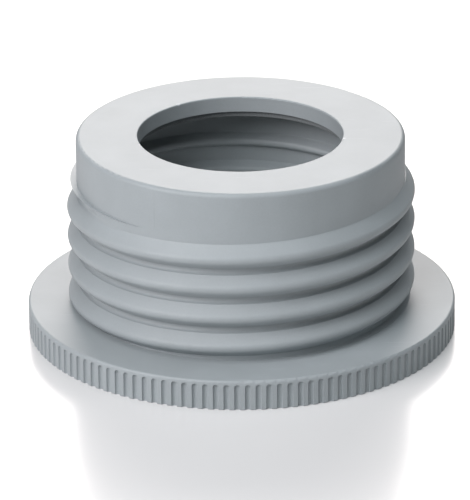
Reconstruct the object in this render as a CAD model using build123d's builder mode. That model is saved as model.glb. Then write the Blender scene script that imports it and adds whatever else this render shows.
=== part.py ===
"""Threaded drum adapter: a moulded polypropylene reducer with a coarse outer thread, a coarse inner
thread in its socket, a knurled grip flange and a flat seal under its lip.

Millimetres, +Z up. The origin is the centre of the flange's underside, on the axis. Angles run
anticlockwise from +X. A thread is placed by the height of its crest, and each crest has two feet,
where its flanks meet the wall that carries it.
"""

import os
from math import atan, cos, degrees, radians, sin, tan

from build123d import *

# Overall sizes
total_height = 40.0
flange_diameter = 84.0
flange_thickness = 6.0
outer_thread_diameter = 68.0
collar_height = 9.0
socket_wall = 1.55
lip_thickness = 3.1
hole_diameter = 40.0

# Rounded and broken edges
barrel_edge_radius = 0.9
flange_edge_radius = 0.5
flange_foot_chamfer = 0.2
hole_edge_radius = 0.25

# Knurled grip: round-ended grooves that run out through the underside
knurl_count = 130
knurl_depth = 0.55
knurl_groove_width = 1.15
knurl_top_margin = 0.75

# Both threads: single start, right hand
thread_pitch = 6.0
root_burial = 0.05
root_shelf = 0.45

# Outer thread: a ridge on the barrel, over a groove that deepens its root. The first and the last
# heights are measured down from the flange's top face and from the plain collar
outer_ridge_height = 1.95
outer_crest_rounding = 1.25
outer_upper_flank = 42.0
outer_lower_flank = 52.0
outer_upper_fillet = 1.1
outer_lower_fillet = 0.5
outer_embed = 0.6
outer_start_angle = 251.5
outer_start_depth = 3.2
outer_fade_depth = 1.38
outer_fade_sweep = 200.0
outer_fade_sink = 0.9
outer_root_depth = 0.65
outer_root_rounding = 0.75
outer_root_drop = 2.72
outer_root_end_depth = 1.94
outer_root_run_out = 60.0
outer_root_foot_gap = 0.1

# Inner thread, in the socket: it ends a little way below the seal
inner_ridge_height = 1.8
inner_crest_rounding = 0.8
inner_flank = 60.0
inner_fillet = 0.4
inner_embed = 0.6
inner_start_height = 3.0
inner_start_angle = 90.0
inner_fade_depth = 7.1
inner_fade_sweep = 150.0
socket_mouth_chamfer = 0.8

# Flat seal under the lip
seal_hole_margin = 1.0
seal_thickness = 1.5
seal_side_clearance = 0.15
seal_edge_radius = 0.3

# Worked out from the sizes above
flange_radius = flange_diameter / 2
hole_radius = hole_diameter / 2
outer_thread_radius = outer_thread_diameter / 2
barrel_radius = outer_thread_radius - outer_ridge_height
outer_root_radius = barrel_radius - outer_root_depth
socket_radius = barrel_radius - socket_wall
inner_thread_radius = socket_radius - inner_ridge_height
lip_underside = total_height - lip_thickness
seal_underside = lip_underside - seal_thickness
collar_underside = total_height - collar_height
through_all = total_height * 2


def ridge_section(crest_radius, wall_radius, height, rounding, flanks, fillets, embed):
    """The ridge's outline in the XZ plane: a rounded crest, two flanks and two filleted feet.

    The flank angles are measured from the axis, and each pair of values is the upper one and the
    lower one. The feet are buried a little in the wall, and a shelf carries the section on into the
    wall, so the ridge and its wall share no edge.
    """
    outward = 1 if crest_radius > wall_radius else -1
    upper_slope = radians(flanks[0])
    lower_slope = radians(flanks[1])
    crest_spread = sin(upper_slope + lower_slope)
    peak_reach = rounding * (sin(upper_slope) + sin(lower_slope)) / crest_spread - rounding
    peak_shift = rounding * (cos(lower_slope) - cos(upper_slope)) / crest_spread
    foot_radius = wall_radius - outward * root_burial
    back_radius = wall_radius - outward * embed
    peak_radius = crest_radius + outward * peak_reach
    reach = abs(peak_radius - foot_radius)
    peak_height = height + peak_shift
    upper_foot = peak_height + reach / tan(upper_slope)
    lower_foot = peak_height - reach / tan(lower_slope)
    upper_end = (foot_radius, upper_foot + root_shelf)
    lower_end = (foot_radius, lower_foot - root_shelf)
    with BuildSketch(Plane.XZ) as outline:
        with BuildLine():
            FilletPolyline(
                upper_end,
                (foot_radius, upper_foot),
                (peak_radius, peak_height),
                (foot_radius, lower_foot),
                lower_end,
                radius=[fillets[0], rounding, fillets[1]],
            )
            Polyline(lower_end, (back_radius, lower_end[1]), (back_radius, upper_end[1]), upper_end)
        make_face()
    return outline.sketch


def helical_sweep(outline, radius, start_height, start_angle, sweep_angle, drift=0.0):
    """Sweep an outline of the XZ plane along a helix, drifting outwards by the end of the sweep.

    A drifting helix lies on a cone, whose pitch is measured along its slope.
    """
    rise = thread_pitch * sweep_angle / 360
    cone = atan(drift / rise)
    with BuildPart() as stretch:
        with BuildLine():
            helix = Helix(
                pitch=thread_pitch / cos(cone),
                height=rise,
                radius=radius,
                center=(0, 0, start_height),
                cone_angle=degrees(cone),
            )
        sweep(sections=outline, path=helix, is_frenet=True)
    return stretch.part.rotate(Axis.Z, start_angle)


def ridge_stretch(section, start_height, start_angle, sweep_angle, start_shift=0.0, end_shift=0.0):
    """A stretch of ridge along its helix; the shifts move its ends outwards from the full thread."""
    placed = dict(section, height=start_height)
    placed["crest_radius"] = section["crest_radius"] + start_shift
    placed["wall_radius"] = section["wall_radius"] + start_shift
    outline = ridge_section(**placed)
    drift = end_shift - start_shift
    crest_radius = placed["crest_radius"]
    return helical_sweep(outline, crest_radius, start_height, start_angle, sweep_angle, drift)


def root_stretch(start_height, start_angle, sweep_angle, start_shift=0.0, end_shift=0.0):
    """A stretch of the round-bottomed groove that deepens the outer thread's root."""
    centre_radius = outer_root_radius + outer_root_rounding + start_shift
    with BuildSketch(Plane.XZ) as outline:
        with Locations((centre_radius, start_height)):
            Circle(outer_root_rounding)
    drift = end_shift - start_shift
    return helical_sweep(
        outline.sketch, centre_radius, start_height, start_angle, sweep_angle, drift
    )


outer_section = {
    "crest_radius": outer_thread_radius,
    "wall_radius": barrel_radius,
    "rounding": outer_crest_rounding,
    "flanks": (outer_upper_flank, outer_lower_flank),
    "fillets": (outer_upper_fillet, outer_lower_fillet),
    "embed": outer_embed,
}
inner_section = {
    "crest_radius": inner_thread_radius,
    "wall_radius": socket_radius,
    "rounding": inner_crest_rounding,
    "flanks": (inner_flank, inner_flank),
    "fillets": (inner_fillet, inner_fillet),
    "embed": inner_embed,
}

# The outer ridge starts inside the flange, and sinks into the barrel over its last half turn, where
# the plain collar cuts it off level
outer_start_height = flange_thickness - outer_start_depth
outer_fade_height = collar_underside - outer_fade_depth
outer_full_sweep = 360 * (outer_fade_height - outer_start_height) / thread_pitch
outer_fade_angle = outer_start_angle + outer_full_sweep
with BuildPart() as outer_thread:
    add(ridge_stretch(outer_section, outer_start_height, outer_start_angle, outer_full_sweep))
    add(
        ridge_stretch(
            outer_section,
            outer_fade_height,
            outer_fade_angle,
            outer_fade_sweep,
            end_shift=-outer_fade_sink,
        )
    )
    split(bisect_by=Plane.XY.offset(collar_underside), keep=Keep.BOTTOM)

# Under each turn a groove takes the root a little deeper than the barrel. It leads in just clear of
# the flange, and runs out before the plain collar
outer_root_lead_height = flange_thickness + outer_root_rounding + outer_root_foot_gap
outer_root_lead_rise = outer_root_lead_height + outer_root_drop - thread_pitch - outer_start_height
outer_root_lead_angle = outer_start_angle + 360 * outer_root_lead_rise / thread_pitch
outer_root_full_angle = outer_root_lead_angle + outer_root_run_out
outer_root_full_height = outer_root_lead_height + thread_pitch * outer_root_run_out / 360
outer_root_fade_height = collar_underside - outer_root_end_depth
outer_root_sweep = 360 * (outer_root_fade_height - outer_root_full_height) / thread_pitch
outer_root_clear = outer_root_rounding * 2
with BuildPart() as outer_root:
    add(
        root_stretch(
            outer_root_lead_height,
            outer_root_lead_angle,
            outer_root_run_out,
            start_shift=outer_root_clear,
        )
    )
    add(root_stretch(outer_root_full_height, outer_root_full_angle, outer_root_sweep))
    add(
        root_stretch(
            outer_root_fade_height,
            outer_root_full_angle + outer_root_sweep,
            outer_root_run_out,
            end_shift=outer_root_clear,
        )
    )

# The inner ridge starts square near the mouth and sinks into the socket wall under the seal
inner_sink = inner_ridge_height + inner_crest_rounding / 2
inner_fade_height = seal_underside - inner_fade_depth
inner_full_sweep = 360 * (inner_fade_height - inner_start_height) / thread_pitch
inner_fade_angle = inner_start_angle + inner_full_sweep
with BuildPart() as inner_thread:
    add(ridge_stretch(inner_section, inner_start_height, inner_start_angle, inner_full_sweep))
    add(
        ridge_stretch(
            inner_section,
            inner_fade_height,
            inner_fade_angle,
            inner_fade_sweep,
            end_shift=inner_sink,
        )
    )
    with BuildSketch(Plane.XY):
        Circle(socket_radius + inner_embed / 2)
    extrude(amount=total_height, mode=Mode.INTERSECT)

# The grip flange, with its knurled rim
with BuildPart() as grip_flange:
    with BuildSketch(Plane.XY):
        Circle(flange_radius)
    extrude(amount=flange_thickness)
    flange_rims = edges().filter_by(GeomType.CIRCLE).sort_by(Axis.Z)
    fillet(flange_rims[-1], flange_edge_radius)
    chamfer(flange_rims[0], flange_foot_chamfer)

    groove_radius = (knurl_groove_width**2 / 4 + knurl_depth**2) / (2 * knurl_depth)
    groove_circle = flange_radius - knurl_depth + groove_radius
    groove_end_height = flange_thickness - knurl_top_margin - knurl_groove_width / 2
    groove_phase = -90 + 180 / knurl_count
    with BuildSketch(Plane.XY):
        with PolarLocations(groove_circle, knurl_count, start_angle=groove_phase):
            Circle(groove_radius)
    extrude(amount=groove_end_height, mode=Mode.SUBTRACT)
    with Locations(Plane.XY.offset(groove_end_height)):
        with PolarLocations(groove_circle, knurl_count, start_angle=groove_phase):
            Sphere(groove_radius, mode=Mode.SUBTRACT)

# The moulding: barrel, flange and lip in one piece, with both threads
with BuildPart() as adapter_body:
    with BuildSketch(Plane.XY):
        Circle(barrel_radius)
    extrude(amount=total_height)
    fillet(edges().filter_by(GeomType.CIRCLE).sort_by(Axis.Z)[-1], barrel_edge_radius)
    add(outer_thread.part)
    add(outer_root.part, mode=Mode.SUBTRACT)
    add(grip_flange.part)

    with BuildSketch(Plane.XY):
        Circle(socket_radius)
    extrude(amount=lip_underside, mode=Mode.SUBTRACT)
    Cone(
        socket_radius + socket_mouth_chamfer,
        socket_radius,
        socket_mouth_chamfer,
        align=(Align.CENTER, Align.CENTER, Align.MIN),
        mode=Mode.SUBTRACT,
    )
    with BuildSketch(Plane.XY):
        Circle(hole_radius)
    extrude(amount=through_all, mode=Mode.SUBTRACT)
    hole_rim = edges().filter_by(GeomType.CIRCLE).group_by(Axis.Z)[-1].sort_by(SortBy.RADIUS)[0]
    fillet(hole_rim, hole_edge_radius)
    add(inner_thread.part)
adapter_body.part.label = "adapter_body"

# A flat washer that lies against the lip, inside the socket wall
with BuildPart() as socket_seal:
    with BuildSketch(Plane.XY.offset(seal_underside)):
        Circle(socket_radius - seal_side_clearance)
        Circle(hole_radius + seal_hole_margin, mode=Mode.SUBTRACT)
    extrude(amount=seal_thickness)
    fillet(edges().filter_by(GeomType.CIRCLE).group_by(Axis.Z)[0], seal_edge_radius)
socket_seal.part.label = "socket_seal"

os.makedirs("parts", exist_ok=True)
export_step(adapter_body.part, "parts/adapter_body.step")
export_step(socket_seal.part, "parts/socket_seal.step")
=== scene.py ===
"""A threaded drum adapter in grey polypropylene, with a foam seal, on a white table."""

import math

import bmesh
import bpy
from bpy.props import FloatProperty, FloatVectorProperty, IntProperty, PointerProperty
from mathutils import Matrix, Vector


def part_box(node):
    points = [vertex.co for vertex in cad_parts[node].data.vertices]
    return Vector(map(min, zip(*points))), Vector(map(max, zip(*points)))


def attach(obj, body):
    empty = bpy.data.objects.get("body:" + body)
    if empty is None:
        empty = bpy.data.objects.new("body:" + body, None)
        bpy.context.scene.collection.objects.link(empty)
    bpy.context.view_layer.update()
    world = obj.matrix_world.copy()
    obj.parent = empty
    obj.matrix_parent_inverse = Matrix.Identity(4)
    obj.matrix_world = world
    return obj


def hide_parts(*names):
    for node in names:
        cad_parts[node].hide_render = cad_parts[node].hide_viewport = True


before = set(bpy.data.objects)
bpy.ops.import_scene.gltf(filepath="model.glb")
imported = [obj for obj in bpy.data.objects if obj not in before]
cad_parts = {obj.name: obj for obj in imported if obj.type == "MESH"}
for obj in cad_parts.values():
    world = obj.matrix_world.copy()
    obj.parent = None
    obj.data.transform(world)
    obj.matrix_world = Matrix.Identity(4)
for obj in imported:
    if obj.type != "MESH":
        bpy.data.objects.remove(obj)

bl_info = {
    "name": "Threaded drum adapter",
    "version": (1, 0, 0),
    "blender": (4, 5, 0),
    "location": "View3D > Sidebar > Adapter",
    "description": "Builds the moulded adapter, its foam seal and the table it stands on",
    "category": "Object",
}

MM = 0.001

# Heights in millimetres of the rows across the collar, which keep its shading clear of the thread's
COLLAR_ROWS = (31.6, 32.4, 36.0, 38.6)
# Each nick's angle from +X in degrees, and its distance from the axis and its width in millimetres
NICKS = ((127, 20.3, 0.55), (351, 20.3, 0.6), (196, 20.2, 0.35))
SEAL_SHARP_ANGLE = math.radians(40)
MERGE_REACH = 0.001 * MM
SAME_HEIGHT = 0.01 * MM

# A long lens from 0.9 m, looking down at 22 degrees with a slight tilt
CAMERA_DISTANCE = 0.9033
CAMERA_AIM = Vector((0, 0, 0.01946))
CAMERA_ELEVATION = math.radians(22.39)
CAMERA_TILT = math.radians(-0.4955)
LENS_LENGTH = 331.7
LENS_SHIFT = (-0.0123, -0.0380)
SENSOR_WIDTH = 36
FAR_CLIP = 20

body_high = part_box("adapter_body")[1]
seal_low, seal_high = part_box("socket_seal")


def linear(hex_colour):
    """An sRGB hex colour as linear red, green and blue."""
    channels = [int(hex_colour[i : i + 2], 16) / 255 for i in (1, 3, 5)]
    return [c / 12.92 if c <= 0.04045 else ((c + 0.055) / 1.055) ** 2.4 for c in channels]


def add_node(tree, kind, links=(), **settings):
    """Add a node, set its properties and sockets, and link what feeds it.

    A setting whose name is a property of the node sets that property, and a setting named in_0,
    in_1 and so on sets the value of that input. Each link is an input and the output that feeds it.
    """
    node = tree.nodes.new(kind)
    for name, value in settings.items():
        if name.startswith("in_"):
            node.inputs[int(name[3:])].default_value = value
        else:
            setattr(node, name, value)
    for socket, source in links:
        tree.links.new(source, node.inputs[socket])
    return node


def calculate(tree, operation, first, second):
    """Add a math node, and return its result. Each operand is an output or a number."""
    operands = (first, second)
    return add_node(
        tree,
        "ShaderNodeMath",
        [(at, value) for at, value in enumerate(operands) if not isinstance(value, float)],
        operation=operation,
        **{f"in_{at}": value for at, value in enumerate(operands) if isinstance(value, float)},
    ).outputs[0]


def remap(tree, source, source_range, result_range):
    """Add a node that maps one range of values onto another and holds its ends."""
    low, high = source_range
    start, end = result_range
    return add_node(
        tree, "ShaderNodeMapRange", [("Value", source)], in_1=low, in_2=high, in_3=start, in_4=end
    ).outputs["Result"]


def add_relief(tree, height, strength, depth, below=None, cut=False):
    """Add a bump node whose relief is a depth in metres, over an earlier one's normal."""
    links = [("Height", height)] + ([("Normal", below)] if below else [])
    bump = add_node(tree, "ShaderNodeBump", links, invert=cut)
    bump.inputs["Strength"].default_value = strength
    bump.inputs["Distance"].default_value = depth
    return bump.outputs[0]


def new_material(name, colour, roughness):
    """A material whose shader has one colour and roughness, with its node tree and its shader."""
    material = bpy.data.materials.new(name)
    material.use_nodes = True
    shader = material.node_tree.nodes["Principled BSDF"]
    shader.inputs["Base Color"].default_value = (*colour, 1)
    shader.inputs["Roughness"].default_value = roughness
    return material, material.node_tree, shader


def new_piece(name, shape, material):
    """Put a bmesh in the scene as an object with one material, and free it."""
    mesh = bpy.data.meshes.new(name)
    shape.to_mesh(mesh)
    shape.free()
    mesh.materials.append(material)
    piece = bpy.data.objects.new(name, mesh)
    bpy.context.scene.collection.objects.link(piece)
    return piece


def smooth_faces(shape, sharp_angle):
    """Shade every face smooth, and mark the edges that fold by more than an angle as sharp."""
    for face in shape.faces:
        face.smooth = True
    for edge in shape.edges:
        edge.smooth = edge.is_manifold and edge.calc_face_angle(0) < sharp_angle


def moulded_polypropylene(settings):
    """Polypropylene from a spark-eroded tool: a satin, slightly waxy skin with a fine grain."""
    material, tree, shader = new_material(
        "moulded_polypropylene", settings.colour, settings.roughness
    )
    # Polypropylene bends light a little less than most plastics
    shader.inputs["IOR"].default_value = 1.49
    place = add_node(tree, "ShaderNodeTexCoord").outputs["Object"]
    facing = add_node(tree, "ShaderNodeNewGeometry").outputs["True Normal"]

    # The tool's grain is drawn about 0.35 mm across, as coarse as it needs to be to show
    grain = add_node(
        tree,
        "ShaderNodeTexNoise",
        [("Vector", place)],
        in_2=1 / (settings.grain_size * MM),
        in_3=3.0,
        in_4=0.6,
    ).outputs["Fac"]
    # Melt that cooled unevenly leaves clouds about 9 mm across that are hardly seen
    clouds = add_node(
        tree, "ShaderNodeTexNoise", [("Vector", place)], in_2=1 / (9 * MM), in_3=4.0, in_4=0.55
    ).outputs["Fac"]

    # Scuffs from storage: thin strokes on the faces that look up, each about 5 mm long
    turned = add_node(
        tree,
        "ShaderNodeMapping",
        [("Vector", place)],
        in_2=(0, 0, math.radians(38)),
        in_3=(1 / (9 * MM), 1 / (0.35 * MM), 1 / (9 * MM)),
    ).outputs["Vector"]
    strokes = add_node(
        tree, "ShaderNodeTexNoise", [("Vector", turned)], in_2=1.0, in_3=2.0, in_4=0.5
    ).outputs["Fac"]
    thin = remap(tree, strokes, (0.71, 0.75), (0.0, 1.0))
    up = add_node(tree, "ShaderNodeSeparateXYZ", [(0, facing)]).outputs["Z"]
    looks_up = calculate(tree, "GREATER_THAN", up, 0.95)
    scuffs = calculate(tree, "MULTIPLY", thin, looks_up)

    # Two halves of the tool meet in a plane through the axis, and leave a fine raised line
    seam_turn = math.radians(settings.seam_angle)
    off_seam = add_node(
        tree,
        "ShaderNodeVectorMath",
        [(0, place)],
        operation="DOT_PRODUCT",
        in_1=(math.sin(seam_turn), -math.cos(seam_turn), 0),
    ).outputs["Value"]
    from_seam = add_node(
        tree, "ShaderNodeMath", [(0, off_seam)], operation="ABSOLUTE"
    ).outputs[0]
    height = add_node(tree, "ShaderNodeSeparateXYZ", [(0, place)]).outputs["Z"]
    on_collar = remap(tree, height, (30.8 * MM, 31.2 * MM), (0.0, 1.0))
    line = remap(tree, from_seam, (0.05 * MM, 0.16 * MM), (1.0, 0.0))
    upright = calculate(tree, "LESS_THAN", up, 0.3)
    seam = calculate(tree, "MULTIPLY", line, on_collar)
    seam = calculate(tree, "MULTIPLY", seam, upright)

    # Nicks in the hole's rim, where the tool's core has dragged the plastic
    nicks = None
    for angle, radius, width in NICKS:
        turn = math.radians(angle)
        spot = Vector((math.cos(turn), math.sin(turn), 0)) * radius * MM
        spot.z = body_high.z
        away = add_node(
            tree, "ShaderNodeVectorMath", [(0, place)], operation="DISTANCE", in_1=spot
        ).outputs["Value"]
        nick = remap(tree, away, (width * 0.4 * MM, width * MM), (1.0, 0.0))
        nicks = nick if nicks is None else calculate(tree, "MAXIMUM", nicks, nick)
    torn = remap(tree, grain, (0.4, 0.6), (0.2, 1.0))
    nicks = calculate(tree, "MULTIPLY", nicks, torn)

    # Colour: the pigment, a little darker and lighter in the clouds and the grain, pale where torn
    shade = remap(tree, clouds, (0.3, 0.7), (0.965, 1.035))
    speckle = remap(tree, grain, (0.3, 0.7), (0.975, 1.025))
    shade = calculate(tree, "MULTIPLY", shade, speckle)
    pigment = add_node(
        tree, "ShaderNodeVectorMath", [(3, shade)], operation="SCALE", in_0=settings.colour
    ).outputs["Vector"]
    marks = calculate(tree, "MULTIPLY", scuffs, 0.22)
    marks = calculate(tree, "MAXIMUM", marks, nicks)
    scuffed = add_node(
        tree, "ShaderNodeMix", [(0, marks), (6, pigment)], data_type="RGBA",
        in_7=(*linear("#D4D8DA"), 1),
    ).outputs[2]
    tree.links.new(scuffed, shader.inputs["Base Color"])

    # Roughness: satin, duller in the grain's pits and in the scuffs
    satin = remap(
        tree, grain, (0.3, 0.7), (settings.roughness - 0.05, settings.roughness + 0.05)
    )
    dull = add_node(
        tree, "ShaderNodeMath", [(0, scuffs), (2, satin)], operation="MULTIPLY_ADD", in_1=0.15
    ).outputs[0]
    tree.links.new(dull, shader.inputs["Roughness"])

    # Relief: the grain, the seam line, the scuffs and the nicks
    relief = add_relief(tree, grain, settings.grain_strength, 0.02 * MM)
    relief = add_relief(tree, seam, 0.6, 0.05 * MM, below=relief)
    relief = add_relief(tree, marks, 0.5, 0.1 * MM, below=relief, cut=True)
    tree.links.new(relief, shader.inputs["Normal"])
    return material


def foamed_polyethylene(settings):
    """Closed-cell polyethylene foam, skived from a block: a dry matte face of fine cut cells."""
    material, tree, shader = new_material(
        "foamed_polyethylene", settings.colour, settings.roughness
    )
    place = add_node(tree, "ShaderNodeTexCoord").outputs["Object"]
    cells = add_node(
        tree,
        "ShaderNodeTexVoronoi",
        [("Vector", place)],
        feature="DISTANCE_TO_EDGE",
    )
    cells.inputs["Scale"].default_value = 1 / (settings.cell_size * MM)
    walls = remap(tree, cells.outputs["Distance"], (0.0, 0.25), (0.86, 1.04))
    tint = add_node(
        tree, "ShaderNodeVectorMath", [(3, walls)], operation="SCALE", in_0=settings.colour
    ).outputs["Vector"]
    tree.links.new(tint, shader.inputs["Base Color"])
    relief = add_relief(tree, cells.outputs["Distance"], 0.5, 0.1 * MM)
    tree.links.new(relief, shader.inputs["Normal"])
    return material


def opal_acrylic(settings):
    """Opal acrylic sheet, cast and lit from below: a white table with a soft sheen."""
    material, tree, shader = new_material(
        "opal_acrylic_sheet", settings.table_colour, settings.table_roughness
    )
    shader.inputs["Emission Color"].default_value = (1, 1, 1, 1)
    shader.inputs["Emission Strength"].default_value = settings.table_glow
    return material


class AdapterBodySettings(bpy.types.PropertyGroup):
    colour: FloatVectorProperty(
        name="Colour",
        description="Pigment of the moulded body",
        subtype="COLOR",
        default=linear("#9DA4A7"),
        min=0,
        max=1,
    )
    roughness: FloatProperty(
        name="Roughness", description="Satin of the moulded skin", default=0.5, min=0.1, max=1
    )
    grain_size: FloatProperty(
        name="Grain size (mm)", description="Width of the tool's grain", default=0.35, min=0.05
    )
    grain_strength: FloatProperty(
        name="Grain strength", description="Depth of the tool's grain", default=0.35, min=0, max=1
    )
    seam_angle: FloatProperty(
        name="Seam angle (degrees)",
        description="Where the tool's halves meet, counted from +X",
        default=239,
    )
    sharp_angle: FloatProperty(
        name="Sharp angle",
        description="Edges that fold by more than this stay sharp",
        subtype="ANGLE",
        default=math.radians(30),
    )


class SealSettings(bpy.types.PropertyGroup):
    colour: FloatVectorProperty(
        name="Colour",
        description="Colour of the foam",
        subtype="COLOR",
        default=linear("#7C8183"),
        min=0,
        max=1,
    )
    roughness: FloatProperty(
        name="Roughness", description="Dullness of the foam", default=0.85, min=0.1, max=1
    )
    cell_size: FloatProperty(
        name="Cell size (mm)", description="Width of the foam's cells", default=0.45, min=0.1
    )
    edge_radius: FloatProperty(
        name="Edge radius",
        description="Rounding of the washer's lower edges",
        subtype="DISTANCE",
        default=0.3 * MM,
    )
    edge_segments: IntProperty(
        name="Edge segments", description="Steps in each rounded edge", default=4, min=1
    )
    steps: IntProperty(
        name="Steps", description="Steps around the washer", default=192, min=24
    )


class StageSettings(bpy.types.PropertyGroup):
    table_size: FloatProperty(
        name="Table size",
        description="Side of the table's sheet",
        subtype="DISTANCE",
        default=6.0,
        min=1,
    )
    table_colour: FloatVectorProperty(
        name="Table colour",
        description="Colour of the table's sheet",
        subtype="COLOR",
        default=linear("#D4D4D4"),
        min=0,
        max=1,
    )
    table_roughness: FloatProperty(
        name="Table roughness", description="Sheen of the table's sheet", default=0.22, min=0, max=1
    )
    table_glow: FloatProperty(
        name="Table glow", description="Light that comes up through the sheet", default=0.1, min=0
    )
    light_scale: FloatProperty(
        name="Light scale", description="Strength of all the lamps together", default=1.0, min=0
    )


class ADAPTER_OT_body(bpy.types.Operator):
    """Build the moulded body from the merged CAD shape, smooth-shaded, with its moulded skin"""

    bl_idname = "adapter.body"
    bl_label = "Moulded body"

    def execute(self, context):
        settings = context.scene.adapter_body
        shape = bmesh.new()
        shape.from_mesh(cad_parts["adapter_body"].data)
        bmesh.ops.remove_doubles(shape, verts=shape.verts, dist=MERGE_REACH)
        bmesh.ops.dissolve_degenerate(shape, edges=shape.edges, dist=0.0001 * MM)
        for height in COLLAR_ROWS:
            bmesh.ops.bisect_plane(
                shape,
                geom=shape.verts[:] + shape.edges[:] + shape.faces[:],
                plane_co=(0, 0, height * MM),
                plane_no=(0, 0, 1),
                dist=0.0001 * MM,
            )
        smooth_faces(shape, settings.sharp_angle)
        if len(shape.faces) == 0:
            raise RuntimeError("the body has no faces")
        body = new_piece("moulded_body", shape, moulded_polypropylene(settings))
        shading = body.modifiers.new("Even shading", "WEIGHTED_NORMAL")
        shading.mode = "FACE_AREA"
        shading.weight = 50
        shading.keep_sharp = True
        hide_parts("adapter_body")
        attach(body, "root")
        return {"FINISHED"}


class ADAPTER_OT_seal(bpy.types.Operator):
    """Build the foam washer that lies against the lip, with rounded lower edges"""

    bl_idname = "adapter.seal"
    bl_label = "Foam seal"

    def execute(self, context):
        settings = context.scene.adapter_seal
        reaches = [v.co.xy.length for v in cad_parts["socket_seal"].data.vertices]
        inner, outer = min(reaches), max(reaches)
        shape = bmesh.new()
        corners = [
            shape.verts.new((radius, 0, height))
            for radius, height in (
                (inner, seal_high.z),
                (inner, seal_low.z),
                (outer, seal_low.z),
                (outer, seal_high.z),
            )
        ]
        for start, end in zip(corners, corners[1:] + corners[:1]):
            shape.edges.new((start, end))
        bmesh.ops.spin(
            shape,
            geom=shape.verts[:] + shape.edges[:],
            cent=(0, 0, 0),
            axis=(0, 0, 1),
            angle=math.tau,
            steps=settings.steps,
            use_merge=True,
        )
        bmesh.ops.remove_doubles(shape, verts=shape.verts, dist=MERGE_REACH)
        bmesh.ops.recalc_face_normals(shape, faces=shape.faces)
        low_edges = [
            edge
            for edge in shape.edges
            if all(abs(v.co.z - seal_low.z) < SAME_HEIGHT for v in edge.verts)
            and abs(edge.verts[0].co.xy.length - edge.verts[1].co.xy.length) < SAME_HEIGHT
        ]
        bmesh.ops.bevel(
            shape,
            geom=low_edges,
            offset=settings.edge_radius,
            segments=settings.edge_segments,
            profile=0.5,
            affect="EDGES",
            material=-1,
        )
        smooth_faces(shape, SEAL_SHARP_ANGLE)
        if not low_edges:
            raise RuntimeError("the seal has no lower edges to round")
        seal = new_piece("foam_seal", shape, foamed_polyethylene(settings))
        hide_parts("socket_seal")
        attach(seal, "root")
        return {"FINISHED"}


# Each lamp's name, the way to it in degrees around and up, its side in metres, its power in watts
# and its colour
LAMPS = (
    ("lamp_back", 90, 30, 0.45, 4.3, "#FFF8F5"),
    ("lamp_front_left", -145, 30, 0.40, 3.6, "#FFF9FB"),
    ("lamp_front", -115, 40, 0.40, 2.3, "#F8FCFF"),
    ("lamp_top_front", -90, 65, 0.45, 1.4, "#FAFCFF"),
    ("lamp_top", 0, 89.9, 0.50, 0.8, "#FFFFFF"),
    ("lamp_top_right", 5, 62, 0.45, 1.1, "#F4FAFF"),
)
LAMP_DISTANCE = 0.8
AIM = Vector((0, 0, 0.02))


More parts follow.
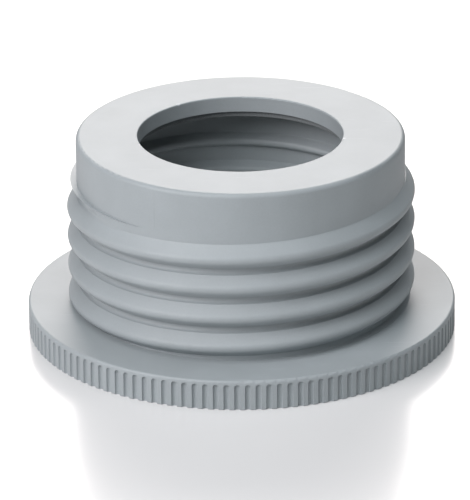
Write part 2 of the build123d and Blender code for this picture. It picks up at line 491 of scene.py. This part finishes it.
class ADAPTER_OT_stage(bpy.types.Operator):
    """Set the white table, the soft lamps and the camera"""

    bl_idname = "adapter.stage"
    bl_label = "Table, lamps and camera"

    def execute(self, context):
        settings = context.scene.adapter_stage
        scene = context.scene
        shape = bmesh.new()
        bmesh.ops.create_grid(shape, x_segments=1, y_segments=1, size=settings.table_size / 2)
        table = new_piece("table_sheet", shape, opal_acrylic(settings))

        for name, around, above, side, power, colour in LAMPS:
            lamp = bpy.data.lights.new(name, "AREA")
            lamp.shape = "SQUARE"
            lamp.size = side
            lamp.energy = power * settings.light_scale
            lamp.color = linear(colour)
            holder = bpy.data.objects.new(name, lamp)
            scene.collection.objects.link(holder)
            turn, lift = math.radians(around), math.radians(above)
            way = Vector(
                (math.cos(turn) * math.cos(lift), math.sin(turn) * math.cos(lift), math.sin(lift))
            )
            holder.matrix_world = Matrix.Translation(AIM + way * LAMP_DISTANCE) @ (
                (-way).to_track_quat("-Z", "Y").to_matrix().to_4x4()
            )

        world = bpy.data.worlds.new("studio_air")
        world.use_nodes = True
        air = world.node_tree.nodes["Background"]
        air.inputs["Color"].default_value = (*linear("#F4F6F8"), 1)
        air.inputs["Strength"].default_value = 0.03
        scene.world = world
        scene.view_settings.view_transform = "Standard"

        lens = bpy.data.cameras.new("camera")
        lens.sensor_width = SENSOR_WIDTH
        lens.lens = LENS_LENGTH
        lens.shift_x, lens.shift_y = LENS_SHIFT
        lens.clip_end = FAR_CLIP
        camera = bpy.data.objects.new("camera", lens)
        scene.collection.objects.link(camera)
        ahead = Vector((0, math.cos(CAMERA_ELEVATION), -math.sin(CAMERA_ELEVATION)))
        level = Matrix.Rotation(math.pi / 2 - CAMERA_ELEVATION, 4, "X")
        tilt = Matrix.Rotation(CAMERA_TILT, 4, "Z")
        stand = Matrix.Translation(CAMERA_AIM - ahead * CAMERA_DISTANCE)
        camera.matrix_world = stand @ level @ tilt
        scene.camera = camera
        return {"FINISHED"}


class ADAPTER_PT_panel(bpy.types.Panel):
    bl_idname = "ADAPTER_PT_panel"
    bl_label = "Threaded drum adapter"
    bl_space_type = "VIEW_3D"
    bl_region_type = "UI"
    bl_category = "Adapter"

    def draw(self, context):
        layout = self.layout
        for name, operator in SECTIONS:
            box = layout.box()
            settings = getattr(context.scene, name)
            for field in settings.bl_rna.properties:
                if field.identifier not in ("rna_type", "name"):
                    box.prop(settings, field.identifier)
            box.operator(operator)


SECTIONS = (
    ("adapter_body", "adapter.body"),
    ("adapter_seal", "adapter.seal"),
    ("adapter_stage", "adapter.stage"),
)
CLASSES = (
    AdapterBodySettings,
    SealSettings,
    StageSettings,
    ADAPTER_OT_body,
    ADAPTER_OT_seal,
    ADAPTER_OT_stage,
    ADAPTER_PT_panel,
)


def register():
    for entry in CLASSES:
        bpy.utils.register_class(entry)
    bpy.types.Scene.adapter_body = PointerProperty(type=AdapterBodySettings)
    bpy.types.Scene.adapter_seal = PointerProperty(type=SealSettings)
    bpy.types.Scene.adapter_stage = PointerProperty(type=StageSettings)


def unregister():
    for name, _ in SECTIONS:
        delattr(bpy.types.Scene, name)
    for entry in reversed(CLASSES):
        bpy.utils.unregister_class(entry)


def main():
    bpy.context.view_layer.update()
    register()
    bpy.ops.adapter.stage()
    bpy.ops.adapter.body()
    bpy.ops.adapter.seal()


if __name__ == "__main__":
    main()
